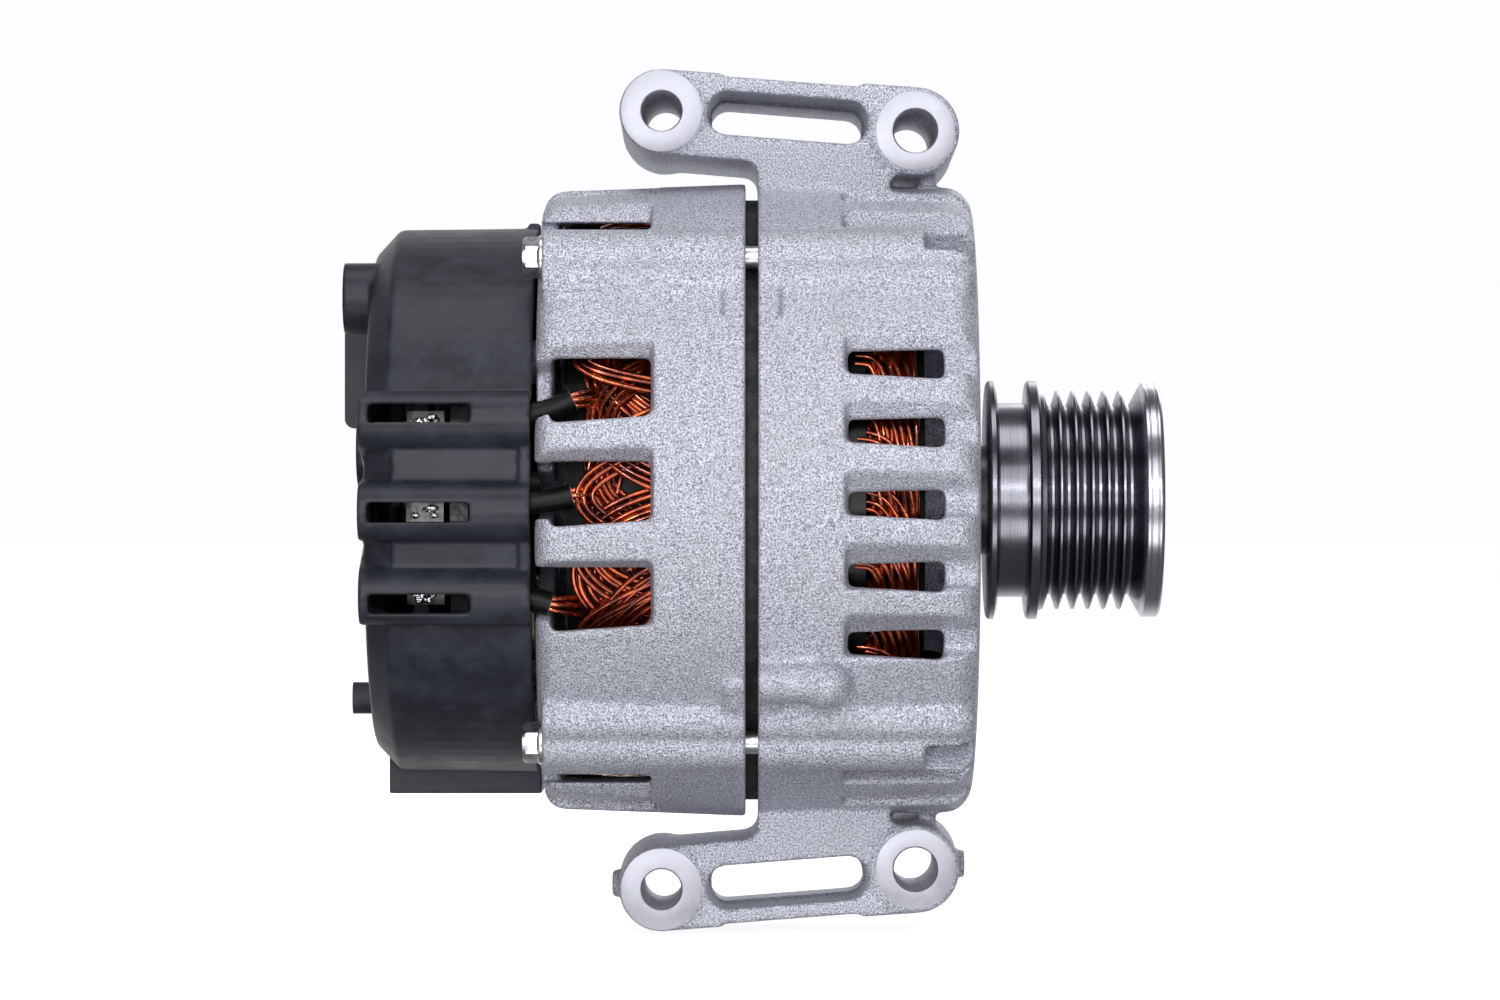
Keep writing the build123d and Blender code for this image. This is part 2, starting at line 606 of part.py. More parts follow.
def terminal_carrier():
    """Moulded crescent that carries the interconnecting conductors over the diodes."""
    body = crescent(-74.0, -71.0, 24.0, 55.0, PLATE_SPAN_DEG)
    for y, z in NEG_DIODE_YZ + POS_DIODE_YZ:
        body += rod(-75.4, -73.0, 3.6, y, z)
        body -= rod(-77, -70.5, 1.3, y, z)
    for y, z in STANDOFF_YZ:
        body -= rod(-80, -60, 2.0 + SLIP, y, z)
    for y, z in COVER_NUT_YZ:
        body -= rod(-80, -60, 4.5, y, z)
    return solid_of(body)


def phase_terminals():
    """Bent tabs that join the phase leads to the carrier, one under each cover slot."""
    made = []
    for angle in PHASE_DEG:
        tab = block(-74.5, -67.0, -2.4, 2.4, 64.45, 65.3) + block(-75.2, -74.0, -2.4, 2.4, 50.0, 65.3)
        made.append(around(angle, tab))
    return group(made)


def rectifier_spacers():
    """Insulating spacers between the two heat sinks and the carrier."""
    made = []
    for y, z in STANDOFF_YZ:
        made.append(tube(POS_PLATE_X[1], NEG_PLATE_X[0], 2.0 + SLIP, 4.5, y, z))
        made.append(tube(-71.0, POS_PLATE_X[0], 2.0 + SLIP, 4.5, y, z))
    return group(made)


def rectifier_screws():
    """Long screws that hold the rectifier stack on the housing."""
    return group([rod(-74.0, -42.0, 2.0, y, z) + rod(-77.0, -74.0, 3.6, y, z) for y, z in STANDOFF_YZ])


# ---------------------------------------------------------------- regulator and brushes
HOLDER = (-78.5, -58.5, -7.0, 7.0, 10.2, 44.0)   # x, y, z limits of the brush holder
BRUSH_X = [x - RING_W / 2 for x in RING_X]
CONNECTOR = (CONNECTOR_END_X, -80.0, 7.0, 31.0, 16.5, 43.0)


def brush(x):
    """Carbon brush whose foot is hollowed to the slip ring."""
    wx, wy, wz = BRUSH_SIZE
    foot_z = RING_R - 0.6
    body = block(x - wx / 2, x + wx / 2, -wy / 2, wy / 2, foot_z, foot_z + wz)
    return body - rod(x - 6, x + 6, RING_R + SLIP)


def brush_spring(x):
    """Coil spring behind a brush, as a closed tube of its outer shape."""
    z0 = RING_R - 0.6 + BRUSH_SIZE[2] + SLIP
    z1 = HOLDER[5] - 2.0
    place = Pos(x, 0, (z0 + z1) / 2)
    return place * Cylinder(2.0, z1 - z0) - place * Cylinder(1.3, z1 - z0 + 2)


def regulator():
    """Moulded voltage regulator with its brush holder and its plug socket, which opens along +Y."""
    body = block(*HOLDER) + block(-78.5, -62.0, 7.0, 30.0, 14.0, 44.0)
    for x in BRUSH_X:
        wx, wy = BRUSH_SIZE[0] / 2 + 0.12, BRUSH_SIZE[1] / 2 + 0.12
        body -= block(x - wx, x + wx, -wy, wy, 5, HOLDER[5] - 2.0)
    x0, x1, y0, y1, z0, z1 = CONNECTOR
    outline = Pos((x0 + x1) / 2, (z0 + z1) / 2) * RectangleRounded(x1 - x0, z1 - z0, 2.2)
    shell = along_y(outline, y0, y1)
    cavity = Pos((x0 + x1) / 2, (z0 + z1) / 2) * RectangleRounded(x1 - x0 - 3.6, z1 - z0 - 3.6, 1.2)
    shell -= along_y(cavity, y0 + 4.0, y1 + 1)
    return body + shell + block(-81.0, -78.0, 9.0, 28.0, 17.5, 42.0)


def connector_pins():
    """Blade terminals inside the plug socket."""
    x_mid = (CONNECTOR[0] + CONNECTOR[1]) / 2
    pins = []
    for k in range(3):
        z = (CONNECTOR[4] + CONNECTOR[5]) / 2 + (k - 1) * 6.0
        depths = (CONNECTOR[2] + 4.0, CONNECTOR[3] - 5.0)
        pins.append(block(x_mid - 0.4, x_mid + 0.4, *depths, z - 1.4, z + 1.4))
    return group(pins)


# ---------------------------------------------------------------- rear cover
def chimney(half_width, top_r, x0, x1, foot_r):
    """Round-topped rib at the top of the cover."""
    centre_r = top_r - half_width
    rib = block(x0, x1, -half_width, half_width, foot_r, centre_r)
    return rib + rod(x0, x1, half_width, 0, centre_r)


def rear_cover():
    """Moulded plastic cover with three terminal ribs, air slots and the openings it needs."""
    x_end, x_rim = COVER_X
    outer = turned((x_rim, 0), (x_rim, COVER_R), (-79.6, COVER_R - 0.4), (x_end, COVER_R - 6.2), (x_end, 0),
                   radii=[0, 0, 1.5, 1.5, 0])
    for angle in PHASE_DEG:
        outer += around(angle, chimney(6.5, 68.6, -85.6, x_rim, 40))
    for angle in (7.0, -11.0):
        outer += around(angle, block(-78.5, -51.5, -4.0, 4.0, 50, COVER_R + 0.55))
        outer += around(angle, block(-50.6, x_rim, -4.0, 4.0, 50, COVER_R + 1.4))
    outer += block(-83.0, x_rim, 6.0, 30.0, -67.6, -50.0)
    outer += around(90, block(-50.6, x_rim, -4.0, 4.0, 50, COVER_R + 1.1))
    outer += rod(COLLAR_END_X, x_end + 1, 8.0, *STUD_YZ)
    outer += rod(-89.6, x_end + 1, 8.6, -4.0, 11.5)
    inner = turned((x_rim + 1, 0), (x_rim + 1, COVER_R - COVER_WALL), (-79.0, COVER_R - COVER_WALL - 0.4),
                   (-82.8, COVER_R - COVER_WALL - 4.6), (-82.8, 0))
    for angle in PHASE_DEG:
        inner += around(angle, chimney(4.9, 67.0, -83.4, x_rim + 1, 40))
    inner += block(-80.8, x_rim + 1, 8.2, 27.8, -65.4, -50.0)
    cover = outer - inner
    for angle in PHASE_DEG:
        cover -= around(angle, block(-83.4, -61.2, -2.2, 2.2, 55, 72))
    cover -= rod(-94, -80, 6.7, *STUD_YZ)
    cover += tube(-84.9, -82.8, STUD_R + SLIP, 8.0, *STUD_YZ)
    x0, _, y0, _, z0, z1 = CONNECTOR
    cover -= block(-95, -80, y0 - 0.4, 45, z0 - 0.4, z1 + 0.4)
    for angle in range(150, 301, 15):
        cover -= around(angle, block(-87, -80, -1.5, 1.5, 16, 46))
    for y, z in COVER_NUT_YZ:
        cover -= rod(-90, -80, 2.5 + SLIP, y, z)
        cover += tube(-84.9, -82.8, 2.5 + SLIP, 6.0, y, z)
    return solid_of(cover)


def cover_studs():
    """Studs that are screwed into the rear housing and carry the cover."""
    return group([rod(-88.8, -42.0, 2.5, y, z) for y, z in COVER_NUT_YZ])


def cover_nuts():
    """Blind nuts that hold the cover."""
    made = []
    for y, z in COVER_NUT_YZ:
        made.append(rod(-90.0, -85.05, 3.6, y, z) - rod(-89.0, -80, 2.5 + SLIP, y, z))
    return group(made)


def output_stud():
    """M8 output stud, headed behind the positive heat sink, with its outer thread in the cover's collar."""
    y, z = STUD_YZ
    shank = rod(STUD_THREAD_X[1] - 0.5, -60.0, STUD_SHANK_R, y, z)
    return rod(POS_PLATE_X[1] + SLIP, -59.5, 7.0, y, z) + shank + rod(*STUD_THREAD_X, STUD_R, y, z)


def output_stud_nut():
    """Nut that clamps the output stud to the positive heat sink."""
    y, z = STUD_YZ
    face = Pos(y, z) * RegularPolygon(6.5, 6, major_radius=False)
    nut = extrude(Plane.YZ.offset(POS_PLATE_X[0] - 6.5) * face, 6.45)
    return nut - rod(-80, -60, STUD_SHANK_R + PRESS, y, z)


# ---------------------------------------------------------------- writing the parts
def build():
    """Name and shape of every node."""
    f_outer, f_inner, f_balls, f_cage, f_seals = bearing(*FRONT_BEARING)
    r_outer, r_inner, r_balls, r_cage, r_seals = bearing(*REAR_BEARING)
    passing = [(yz, 2.0 + SLIP) for yz in STANDOFF_YZ]
    studs = [(yz, 4.5) for yz in COVER_NUT_YZ]
    leads = [(yz, 4.2) for yz in NEG_DIODE_YZ]
    nodes = {
        "front_housing": front_housing(),
        "rear_housing": rear_housing(),
        "through_bolts": through_bolts(),
        "stator_core": stator_core(),
        "winding_slot_bars": winding_slot_bars(),
        "front_end_winding": end_winding(STATOR_X[1] + 0.1, 38.6),
        "rear_end_winding": end_winding(STATOR_X[0] - 0.1, -40.4),
        "phase_lead_wires": group(phase_leads(LEAD_R, -70.0, -40.5)),
        "phase_lead_sleeves": phase_lead_sleeves(),
        "front_bearing_outer_race": f_outer,
        "front_bearing_seals": f_seals,
        "bearing_retainer": bearing_retainer(),
        "retainer_screws": retainer_screws(),
        "rear_bearing_outer_race": r_outer,
        "rear_bearing_seals": r_seals,
        "rear_bearing_sleeve": tube(-46.0, -35.0, REAR_BEARING[3] + PRESS, REAR_BEARING[3] + 1.48),
        "rotor_shaft": rotor_shaft(),
        "rotor_core": tube(-12.75, 12.75, CORE_R + PRESS, 30.0),
        "claw_pole_front": claw_pole(1),
        "claw_pole_rear": claw_pole(-1),
        "field_bobbin": field_bobbin(),
        "field_coil": tube(-11.3, 11.3, 31.45, 46.5),
        "front_fan": fan(POLE_FACE_X + 0.02, 31.0, 11, 32),
        "rear_fan": fan(-POLE_FACE_X - 0.02, -31.5, 9, -32),
        "slip_ring_carrier": slip_ring_carrier(),
        "slip_ring_outer": tube(RING_X[0] - RING_W, RING_X[0], RING_R - 1.18, RING_R),
        "slip_ring_inner": tube(RING_X[1] - RING_W, RING_X[1], RING_R - 1.18, RING_R),
        "front_bearing_inner_race": f_inner,
        "rear_bearing_inner_race": r_inner,
        "pulley_spacer": tube(49.6, 53.95, SHAFT_R + PRESS, 12.5),
        "pulley": pulley(),
        "pulley_nut": pulley_nut(),
        "front_bearing_balls": f_balls,
        "front_bearing_cage": f_cage,
        "rear_bearing_balls": r_balls,
        "rear_bearing_cage": r_cage,
        "rectifier_negative_plate": heat_sink(NEG_PLATE_X, 26.0, 57.0, NEG_DIODE_YZ, passing + studs),
        "rectifier_positive_plate": heat_sink(
            POS_PLATE_X, 24.0, 55.5, POS_DIODE_YZ,
            passing + studs + leads + [(STUD_YZ, STUD_SHANK_R + PRESS)], (40.0, 76.0)),
        "negative_diodes": group([diode(-56.5, -48.0, y, z) for y, z in NEG_DIODE_YZ]),
        "positive_diodes": group([diode(-68.0, -60.0, y, z) for y, z in POS_DIODE_YZ]),
        "rectifier_terminal_carrier": terminal_carrier(),
        "phase_terminals": phase_terminals(),
        "rectifier_spacers": rectifier_spacers(),
        "rectifier_screws": rectifier_screws(),
        "regulator": regulator(),
        "connector_pins": connector_pins(),
        "brush_outer": brush(BRUSH_X[0]),
        "brush_inner": brush(BRUSH_X[1]),
        "brush_spring_outer": brush_spring(BRUSH_X[0]),
        "brush_spring_inner": brush_spring(BRUSH_X[1]),
        "output_stud": output_stud(),
        "output_stud_nut": output_stud_nut(),
        "rear_cover": rear_cover(),
        "cover_studs": cover_studs(),
        "cover_nuts": cover_nuts(),
    }
    return nodes


def main():
    os.makedirs("parts", exist_ok=True)
    for name, shape in build().items():
        export_step(group([shape]), f"parts/{name}.step")


main()
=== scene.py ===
import json
import random
from math import cos, hypot, pi, radians, sin, sqrt, tau

import bmesh
import bpy
import numpy as np
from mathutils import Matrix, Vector


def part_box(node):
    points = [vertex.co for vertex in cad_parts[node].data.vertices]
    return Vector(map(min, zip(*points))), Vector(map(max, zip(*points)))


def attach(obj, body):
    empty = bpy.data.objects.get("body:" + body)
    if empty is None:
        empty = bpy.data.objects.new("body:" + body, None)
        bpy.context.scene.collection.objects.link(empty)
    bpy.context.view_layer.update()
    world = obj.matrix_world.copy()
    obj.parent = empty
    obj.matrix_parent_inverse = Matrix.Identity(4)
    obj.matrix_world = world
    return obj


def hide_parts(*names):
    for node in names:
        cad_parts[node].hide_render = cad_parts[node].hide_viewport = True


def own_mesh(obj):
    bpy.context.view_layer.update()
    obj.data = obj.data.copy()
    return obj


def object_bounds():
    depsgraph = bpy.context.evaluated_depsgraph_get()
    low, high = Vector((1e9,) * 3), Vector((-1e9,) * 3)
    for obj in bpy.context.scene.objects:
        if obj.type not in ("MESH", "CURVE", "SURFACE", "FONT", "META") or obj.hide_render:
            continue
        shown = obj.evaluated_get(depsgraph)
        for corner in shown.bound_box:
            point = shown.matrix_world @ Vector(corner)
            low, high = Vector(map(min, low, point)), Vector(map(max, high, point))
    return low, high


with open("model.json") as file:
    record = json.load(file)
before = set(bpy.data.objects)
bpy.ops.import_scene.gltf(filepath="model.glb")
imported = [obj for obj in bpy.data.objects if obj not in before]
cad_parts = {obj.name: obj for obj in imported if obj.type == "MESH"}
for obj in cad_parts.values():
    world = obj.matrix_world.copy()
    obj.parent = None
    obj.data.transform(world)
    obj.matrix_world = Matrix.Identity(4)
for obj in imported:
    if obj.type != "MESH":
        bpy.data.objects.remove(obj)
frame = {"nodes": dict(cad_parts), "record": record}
CAD_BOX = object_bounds()
NODES = frame["nodes"]
MM = 0.001
SCENE = bpy.context.scene


# ---------------------------------------------------------------- materials
class Surface:
    """A Principled material and the few procedural parts the others are made of."""

    def __init__(self, name, colour, **values):
        self.material = bpy.data.materials.new(name)
        self.material.use_nodes = True
        self.tree = self.material.node_tree
        self.shader = self.tree.nodes["Principled BSDF"]
        self.shader.inputs["Base Color"].default_value = (*colour, 1)
        for key, value in values.items():
            self.shader.inputs[key.replace("_", " ")].default_value = value
        self.place = self.add("ShaderNodeTexCoord").outputs["Object"]

    def add(self, kind, **settings):
        node = self.tree.nodes.new(kind)
        for key, value in settings.items():
            setattr(node, key, value)
        return node

    def link(self, output, target):
        self.tree.links.new(output, target)

    def noise(self, scale, detail=2.0, roughness=0.5, stretch=(1, 1, 1)):
        """Noise of features 1/scale metres wide, stretched along the axes by the factors given."""
        mapping = self.add("ShaderNodeMapping")
        mapping.inputs["Scale"].default_value = [scale / s for s in stretch]
        self.link(self.place, mapping.inputs["Vector"])
        texture = self.add("ShaderNodeTexNoise")
        texture.inputs["Scale"].default_value = 1.0
        texture.inputs["Detail"].default_value = detail
        texture.inputs["Roughness"].default_value = roughness
        self.link(mapping.outputs["Vector"], texture.inputs["Vector"])
        return texture.outputs["Fac"]

    def remap(self, value, low, high, to_low=0.0, to_high=1.0):
        node = self.add("ShaderNodeMapRange")
        for key, number in (("From Min", low), ("From Max", high), ("To Min", to_low), ("To Max", to_high)):
            node.inputs[key].default_value = number
        self.link(value, node.inputs["Value"])
        return node.outputs["Result"]

    def math(self, operation, a, b=None):
        node = self.add("ShaderNodeMath", operation=operation)
        for slot, value in zip(node.inputs, (a, b)):
            if value is None:
                continue
            if isinstance(value, (int, float)):
                slot.default_value = value
            else:
                self.link(value, slot)
        return node.outputs[0]

    def mix(self, factor, a, b):
        """Colour between a and b, which are colours or sockets."""
        node = self.add("ShaderNodeMix", data_type="RGBA")
        self.link(factor, node.inputs["Factor"])
        for slot, value in ((node.inputs[6], a), (node.inputs[7], b)):
            if isinstance(value, tuple):
                slot.default_value = (*value, 1)
            else:
                self.link(value, slot)
        return node.outputs[2]

    def axes(self):
        """The object coordinates one by one."""
        node = self.add("ShaderNodeSeparateXYZ")
        self.link(self.place, node.inputs[0])
        return node.outputs

    def colour(self, socket):
        self.link(socket, self.shader.inputs["Base Color"])
        return self

    def rough(self, socket):
        self.link(socket, self.shader.inputs["Roughness"])
        return self

    def bumps(self, *layers):
        """Bump layers, each (height socket, height of a full step in metres, strength)."""
        normal = None
        for height, distance, strength in layers:
            node = self.add("ShaderNodeBump")
            node.inputs["Distance"].default_value = distance
            node.inputs["Strength"].default_value = strength
            self.link(height, node.inputs["Height"])
            if normal is not None:
                self.link(normal, node.inputs["Normal"])
            normal = node.outputs["Normal"]
        self.link(normal, self.shader.inputs["Normal"])
        return self


# the inside of the housings, coloured near black as painted shade from the radius of the hub to that of the
# cavity
CAVITY_R = 66.2 * MM
CAVITY_X = (-42.9 * MM, 44.3 * MM)
HUB_R = 35.2 * MM


def cast_aluminium():
    """Shot-blasted casting with a sparkling grain; inside the housings it is coloured near black as painted
    shade.
    """
    s = Surface("cast_aluminium", (0.55, 0.555, 0.61), Metallic=0.6)
    grain = s.noise(2500, 2.0, 0.6)
    pits = s.noise(1300, 2.0, 0.6)
    cloud = s.noise(45, 3.0, 0.55)
    base = s.mix(s.remap(grain, 0.36, 0.64), (0.22, 0.225, 0.285), (0.87, 0.88, 1.0))
    base = s.mix(s.remap(cloud, 0.35, 0.7, 0.0, 0.3), base, (0.48, 0.485, 0.535))
    x, y, z = s.axes()[0:3]
    radius = s.math("SQRT", s.math("ADD", s.math("MULTIPLY", y, y), s.math("MULTIPLY", z, z)))
    # painted shade: the hollow inside of the housings, where shadow falls, is coloured near black
    inside_painted_shade = s.remap(radius, CAVITY_R + 1.5 * MM, CAVITY_R)
    inside_painted_shade = s.math("MULTIPLY", inside_painted_shade, s.remap(radius, HUB_R, HUB_R + 1.0 * MM))
    inside_painted_shade = s.math("MULTIPLY", inside_painted_shade, s.remap(x, CAVITY_X[0] - 1.0 * MM, CAVITY_X[0]))
    inside_painted_shade = s.math("MULTIPLY", inside_painted_shade, s.remap(x, CAVITY_X[1] + 1.0 * MM, CAVITY_X[1]))
    # the near-black colour here is painted shade of the cavity
    s.colour(s.mix(inside_painted_shade, base, (0.02, 0.018, 0.018)))
    s.rough(s.remap(grain, 0.3, 0.7, 0.62, 0.42))
    return s.bumps((pits, 0.0003, 0.7), (grain, 0.0004, 0.9)).material


def machined_aluminium():
    """Milled faces, duller in clouds."""
    s = Surface("machined_aluminium", (0.58, 0.58, 0.64), Metallic=0.9)
    marks = s.noise(9000, 2.0, 0.5)
    cloud = s.noise(220, 3.0, 0.6)
    s.colour(s.mix(s.remap(cloud, 0.3, 0.7), (0.31, 0.31, 0.36), (0.385, 0.385, 0.435)))
    s.rough(s.remap(cloud, 0.3, 0.7, 0.36, 0.46))
    return s.bumps((marks, 0.00001, 0.3)).material


def black_plastic():
    """Glass-filled moulding with a fine grain and faint scuffs."""
    s = Surface("black_plastic", (0.028, 0.029, 0.036), Roughness=0.42, Specular_IOR_Level=0.28)
    grain = s.noise(2800, 2.0, 0.6)
    scuff = s.noise(140, 4.0, 0.6)
    s.colour(s.mix(s.remap(scuff, 0.4, 0.7), (0.018, 0.020, 0.028), (0.038, 0.041, 0.054)))
    s.rough(s.remap(scuff, 0.3, 0.7, 0.34, 0.5))
    return s.bumps((grain, 0.00006, 0.5)).material


def enamelled_copper():
    """Copper wire under a clear amber enamel, darker where varnish has run."""
    bright, dark = (0.64, 0.15, 0.045), (0.11, 0.013, 0.008)
    s = Surface("enamelled_copper", bright, Metallic=0.9, Roughness=0.2, Coat_Weight=1.0, Coat_Roughness=0.05,
                Coat_Tint=(1.0, 0.72, 0.5, 1))
    tone = s.noise(260, 3.0, 0.6)
    s.colour(s.mix(s.remap(tone, 0.38, 0.68), dark, bright))
    s.rough(s.remap(tone, 0.3, 0.7, 0.18, 0.12))
    return s.bumps((s.noise(700, 2.0), 0.00012, 0.6)).material


def turned_steel(name, colour, roughness):
    """Steel with fine turning lines round the X axis."""
    s = Surface(name, colour, Metallic=1.0)
    lines = s.noise(6000, 2.0, 0.6, (1, 400, 400))
    cloud = s.noise(160, 3.0, 0.55)
    dark = tuple(c * 0.8 for c in colour)
    s.colour(s.mix(s.remap(lines, 0.3, 0.7), dark, colour))
    s.rough(s.remap(cloud, 0.3, 0.7, roughness * 0.85, roughness * 1.2))
    return s.bumps((lines, 0.000008, 0.4)).material


def pulley_steel():
    """Oiled dark steel, with a lighter colour on the outer flange from x 88.6 mm outward."""
    s = Surface("pulley_steel", (0.22, 0.22, 0.255), Metallic=1.0)
    lines = s.noise(6000, 2.0, 0.6, (1, 400, 400))
    cloud = s.noise(160, 3.0, 0.55)
    base = s.mix(s.remap(lines, 0.3, 0.7), (0.15, 0.15, 0.175), (0.215, 0.215, 0.25))
    # from the foot of the outer flange outward the base colour is lighter
    flange = s.remap(s.axes()["X"], 88.6 * MM, 89.0 * MM)
    s.colour(s.mix(flange, base, (0.46, 0.46, 0.51)))
    s.rough(s.remap(cloud, 0.3, 0.7, 0.2, 0.29))
    return s.bumps((lines, 0.000008, 0.4)).material


def plated_steel(name, colour, roughness=0.28):
    """Plated or bare sheet metal with a cloudy finish."""
    s = Surface(name, colour, Metallic=1.0)
    cloud = s.noise(500, 3.0, 0.6)
    s.colour(s.mix(s.remap(cloud, 0.3, 0.7), tuple(c * 0.8 for c in colour), colour))
    s.rough(s.remap(cloud, 0.3, 0.7, roughness * 0.75, roughness * 1.4))
    return s.bumps((s.noise(1800, 2.0), 0.00003, 0.4)).material


def laminations():
    """Varnished edges of half-millimetre sheets stacked along X."""
    s = Surface("laminations", (0.02, 0.02, 0.022), Metallic=0.3)
    sheet = 0.5 * MM
    wave = s.math("SINE", s.math("MULTIPLY", s.axes()["X"], tau / sheet))
    patch = s.noise(300, 3.0, 0.6)
    s.colour(s.mix(s.remap(patch, 0.45, 0.75), (0.012, 0.012, 0.014), (0.055, 0.052, 0.05)))
    s.rough(s.remap(patch, 0.3, 0.7, 0.4, 0.62))
    return s.bumps((wave, 0.00006, 0.6)).material


def rubbery(name, level, roughness):
    """Dark, dull and faintly mottled, of the grey level given."""
    s = Surface(name, (level, level, level * 1.1), Roughness=roughness, Specular_IOR_Level=0.2)
    s.colour(s.mix(s.noise(600, 3.0), (level * 0.7,) * 3, (level * 1.4, level * 1.4, level * 1.5)))
    return s.bumps((s.noise(2500, 2.0), 0.00002, 0.4)).material


def moulded(name, colour):
    """Plain coloured plastic."""
    s = Surface(name, colour, Roughness=0.5)
    s.colour(s.mix(s.noise(200, 3.0), tuple(c * 0.8 for c in colour), colour))
    return s.bumps((s.noise(2600, 2.0), 0.00002, 0.4)).material


def solder():
    """Bright wrinkled solder."""
    s = Surface("solder", (0.78, 0.78, 0.80), Metallic=1.0, Roughness=0.2)
    s.colour(s.mix(s.noise(900, 2.0), (0.55, 0.55, 0.56), (0.88, 0.88, 0.9)))
    return s.bumps((s.noise(1500, 3.0), 0.0002, 0.8)).material


# the materials, by the names of the record's slots and a few of this script's own
LOOKS = {
    "cast_aluminium": cast_aluminium(),
    "machined_aluminium": machined_aluminium(),
    "black_plastic": black_plastic(),
    "enamelled_copper": enamelled_copper(),
    # near-black painted shade for the core ring seen in the gaps between the coil heads
    "winding_core_painted_shade": rubbery("winding_core_painted_shade", 0.003, 0.5),
    "pulley_steel": pulley_steel(),
    "bearing_steel": turned_steel("bearing_steel", (0.6, 0.6, 0.62), 0.18),
    "forged_steel": turned_steel("forged_steel", (0.16, 0.155, 0.155), 0.38),
    "zinc_steel": plated_steel("zinc_steel", (0.74, 0.74, 0.76)),
    "fan_steel": plated_steel("fan_steel", (0.42, 0.42, 0.44), 0.4),
    "spring_steel": plated_steel("spring_steel", (0.6, 0.6, 0.62)),
    "heat_sink_aluminium": plated_steel("heat_sink_aluminium", (0.10, 0.10, 0.105), 0.5),
    "slip_ring_copper": turned_steel("slip_ring_copper", (0.82, 0.42, 0.24), 0.16),
    "diode_copper": plated_steel("diode_copper", (0.55, 0.42, 0.34), 0.35),
    "tinned_copper": plated_steel("tinned_copper", (0.66, 0.64, 0.6), 0.3),
    "laminated_steel": laminations(),
    "sleeve_black": rubbery("sleeve_black", 0.003, 0.4),
    "cut_rubber": rubbery("cut_rubber", 0.12, 0.5),
    "varnished_paper": rubbery("varnished_paper", 0.0025, 0.22),
    "seal_rubber": rubbery("seal_rubber", 0.03, 0.6),
    "carbon": rubbery("carbon", 0.04, 0.5),
    "cage_plastic": moulded("cage_plastic", (0.55, 0.48, 0.33)),
    # tinned tabs coloured dark grey as painted shade inside the cover's slots
    "tin_painted_shade": plated_steel("tin_painted_shade", (0.16, 0.16, 0.16), 0.45),
    "solder": solder(),
}


# ---------------------------------------------------------------- helpers for pieces
def finish_piece(obj, look, body, slot, *replaced):
    """Links a piece, gives it its material and ties it to the frame."""
    SCENE.collection.objects.link(obj)
    obj.data.materials.clear()
    obj.data.materials.append(LOOKS[look])
    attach(obj, body)
    if replaced:
        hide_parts(*replaced)
    return obj


def mesh_piece(name, vertices, faces, smooth_deg=40):
    """Smooth-shaded object whose edges stay sharp above the angle given."""
    mesh = bpy.data.meshes.new(name)
    mesh.from_pydata([tuple(v) for v in vertices], [], faces)
    mesh.validate()
    mesh.shade_smooth()
    mesh.set_sharp_from_angle(angle=radians(smooth_deg))
    return bpy.data.objects.new(name, mesh)


def solids_of(node):
    """(low, high) corners of each separate solid of a CAD node, ordered by place."""
    bm = bmesh.new()
    bm.from_mesh(NODES[node].data)
    bmesh.ops.remove_doubles(bm, verts=bm.verts, dist=1e-6)
    found, seen = [], set()
    for start in bm.verts:
        if start in seen:
            continue
        seen.add(start)
        stack, members = [start], []
        while stack:
            vertex = stack.pop()
            members.append(vertex.co.copy())
            for edge in vertex.link_edges:
                other = edge.other_vert(vertex)
                if other not in seen:
                    seen.add(other)
                    stack.append(other)
        points = np.array(members)
        found.append((Vector(points.min(0)), Vector(points.max(0))))
    bm.free()
    return sorted(found, key=lambda box: (round(box[0].z, 4), round(box[0].y, 4), box[0].x))


def cast_skin(name, node, voxel, passes, keep, look):
    """The CAD shape with its edges rounded as a mould rounds them: it is divided into voxels of the size
    given, smoothed in a number of passes and thinned to the share of its faces to keep."""
    work = bpy.data.objects.new(name + "_work", NODES[node].data.copy())
    SCENE.collection.objects.link(work)
    remesh = work.modifiers.new("voxels", "REMESH")
    remesh.mode = "VOXEL"
    remesh.voxel_size = voxel
    smooth = work.modifiers.new("edges", "SMOOTH")
    smooth.factor = 0.5
    smooth.iterations = passes
    fewer = work.modifiers.new("fewer", "DECIMATE")
    fewer.ratio = keep
    evaluated = work.evaluated_get(bpy.context.evaluated_depsgraph_get())
    mesh = bpy.data.meshes.new_from_object(evaluated)
    bpy.data.objects.remove(work)
    mesh.name = name
    mesh.shade_smooth()
    return finish_piece(bpy.data.objects.new(name, mesh), look, "stator_side", look, node)


def lathe(profile, segments=160, shape=None, centre=(0.0, 0.0)):
    """Vertices and faces of a closed (x, r) outline turned round an axis along X through centre.
    shape(angle, x, r) may change the radius."""
    vertices, faces = [], []
    count = len(profile)
    for k in range(segments):
        angle = tau * k / segments
        for x, r in profile:
            reach = shape(angle, x, r) if shape else r
            vertices.append((x, centre[0] + reach * cos(angle), centre[1] + reach * sin(angle)))
    for k in range(segments):
        a, b = k * count, ((k + 1) % segments) * count
        for i in range(count):
            j = (i + 1) % count
            if profile[i][1] < 1e-9 and profile[j][1] < 1e-9:
                continue
            faces.append((a + i, b + i, b + j, a + j))
    return vertices, faces


def softened(outline, size):
    """Cuts every corner of a closed outline off by size, so that turned edges catch the light."""
    made = []
    for i, (x, r) in enumerate(outline):
        px, pr = outline[i - 1]
        nx, nr = outline[(i + 1) % len(outline)]
        before, after = hypot(px - x, pr - r), hypot(nx - x, nr - r)
        if r < 1e-9 or min(before, after) < 2.5 * size:
            made.append((x, r))
            continue
        made.append((x + (px - x) * size / before, r + (pr - r) * size / before))
        made.append((x + (nx - x) * size / after, r + (nr - r) * size / after))
    return made


